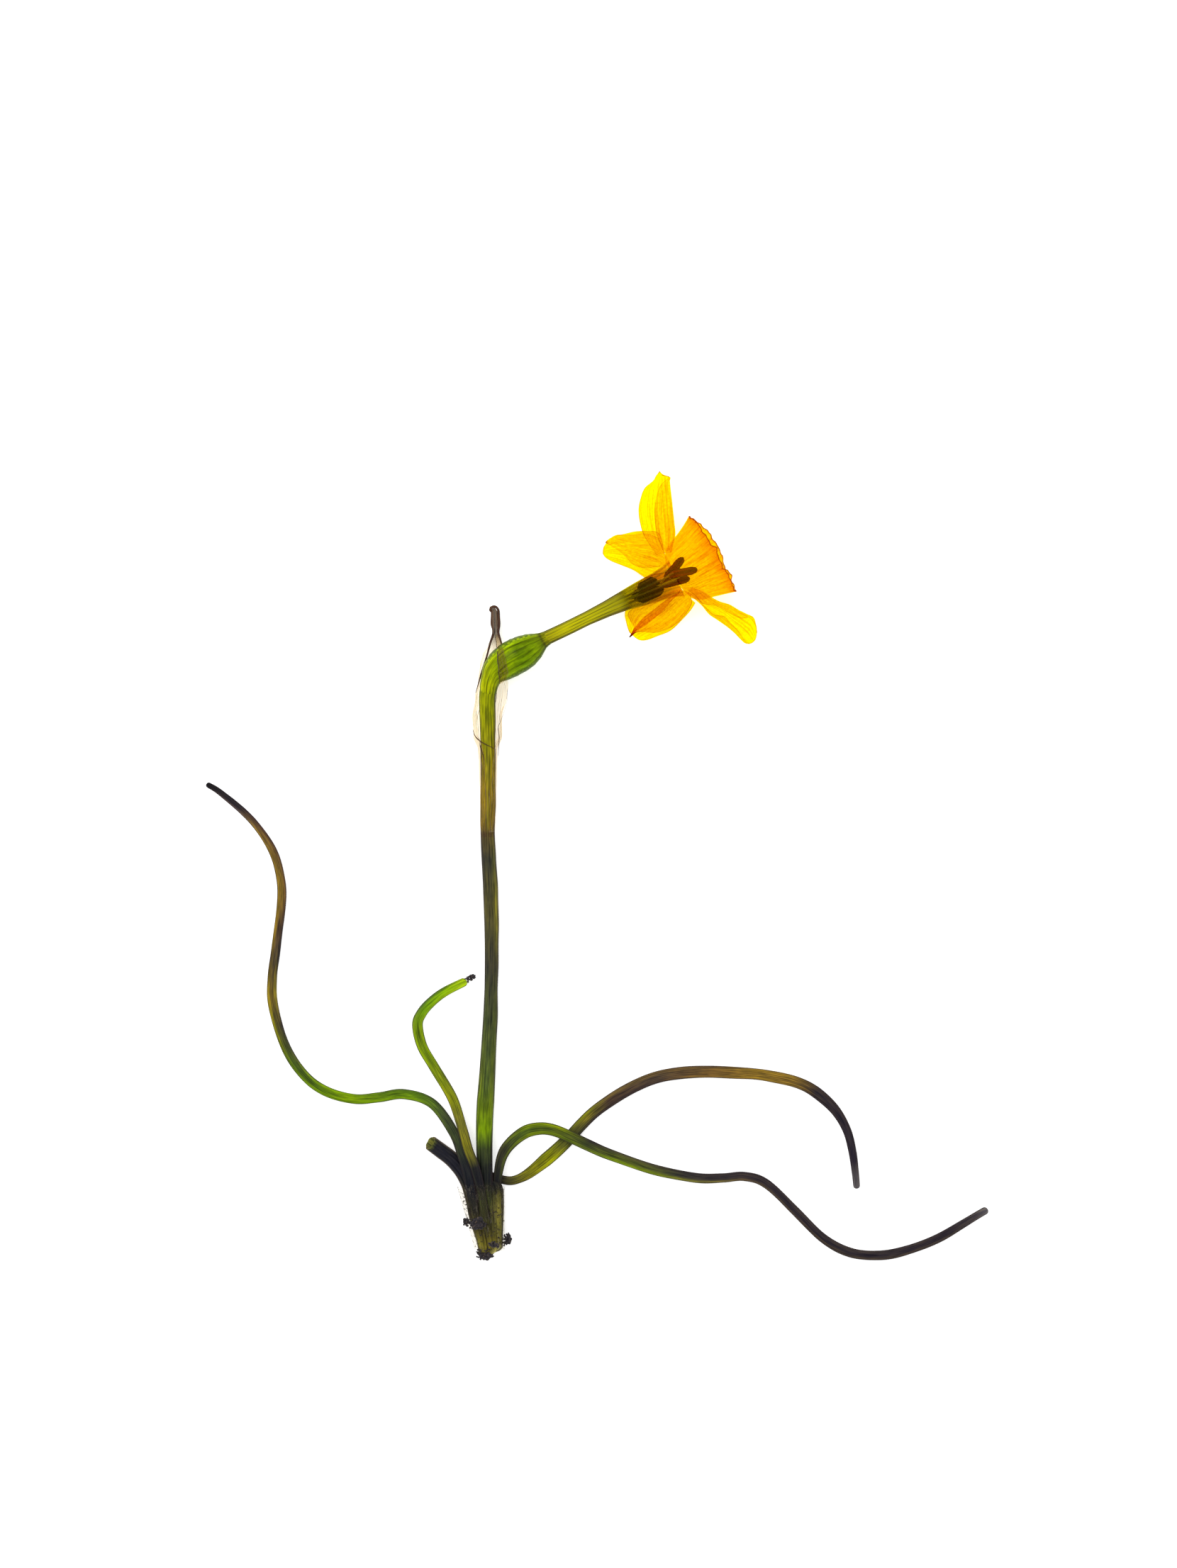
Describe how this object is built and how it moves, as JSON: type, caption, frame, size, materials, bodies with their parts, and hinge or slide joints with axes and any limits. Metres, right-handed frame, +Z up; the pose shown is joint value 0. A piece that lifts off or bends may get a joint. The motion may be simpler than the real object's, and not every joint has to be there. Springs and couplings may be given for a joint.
{
  "type": "daffodil flower",
  "caption": "Small picked daffodil lying flat: a bent, trumpet-shaped yellow flower on a slender stalk, with narrow curving leaves, a papery bract and a torn foot.",
  "frame": {"origin": "bottom centre of the bounding box, on the surface that the plant lies on", "axes": "+Z up from the surface, +Y from the torn foot towards the flower, +X the way the flower's mouth looks"},
  "size_m": [0.199, 0.2, 0.0174],
  "materials": {
    "stalk_green": "satin, fleshy, streaked from bright green to near black",
    "leaf_green": "satin, fleshy, streaked from bright green to olive and brown",
    "capsule_green": "satin, fleshy",
    "tube_green": "satin, fleshy, yellow-green",
    "tepal_yellow": "thin matt petal that lets light through",
    "corona_orange": "thin matt petal that lets light through, with fine radial veins",
    "anther_brown": "matt, mealy",
    "sheath_membrane": "clear, colourless skin",
    "spathe_paper": "dry, papery, see-through, with brown veins",
    "soil": "matt, crumbly"
  },
  "bodies": {
    "root": {"scape": "stalk_green", "cut_stalk_stub": "stalk_green", "leaf_long_left": "leaf_green", "leaf_short": "leaf_green", "leaf_low_right": "leaf_green", "leaf_high_right": "leaf_green", "basal_sheath": "sheath_membrane", "spathe": "spathe_paper", "ovary": "capsule_green", "floral_tube": "tube_green", "corona": "corona_orange", "tepal_top": "tepal_yellow", "tepal_upper_front": "tepal_yellow", "tepal_upper_back": "tepal_yellow", "tepal_lower_front": "tepal_yellow", "tepal_lower_back": "tepal_yellow", "tepal_bottom": "tepal_yellow", "stamen_lower_1": "anther_brown", "stamen_lower_2": "anther_brown", "stamen_lower_3": "anther_brown", "stamen_upper_1": "anther_brown", "stamen_upper_2": "anther_brown", "stamen_upper_3": "anther_brown", "style_and_stigma": "tube_green", "soil_clump_on_sheath": "soil", "soil_crumb_left": "soil", "soil_clump_foot": "soil", "soil_ridge_on_sheath": "soil", "soil_clump_right": "soil", "soil_crumb_short_leaf": "soil"}
  },
  "joints": []
}
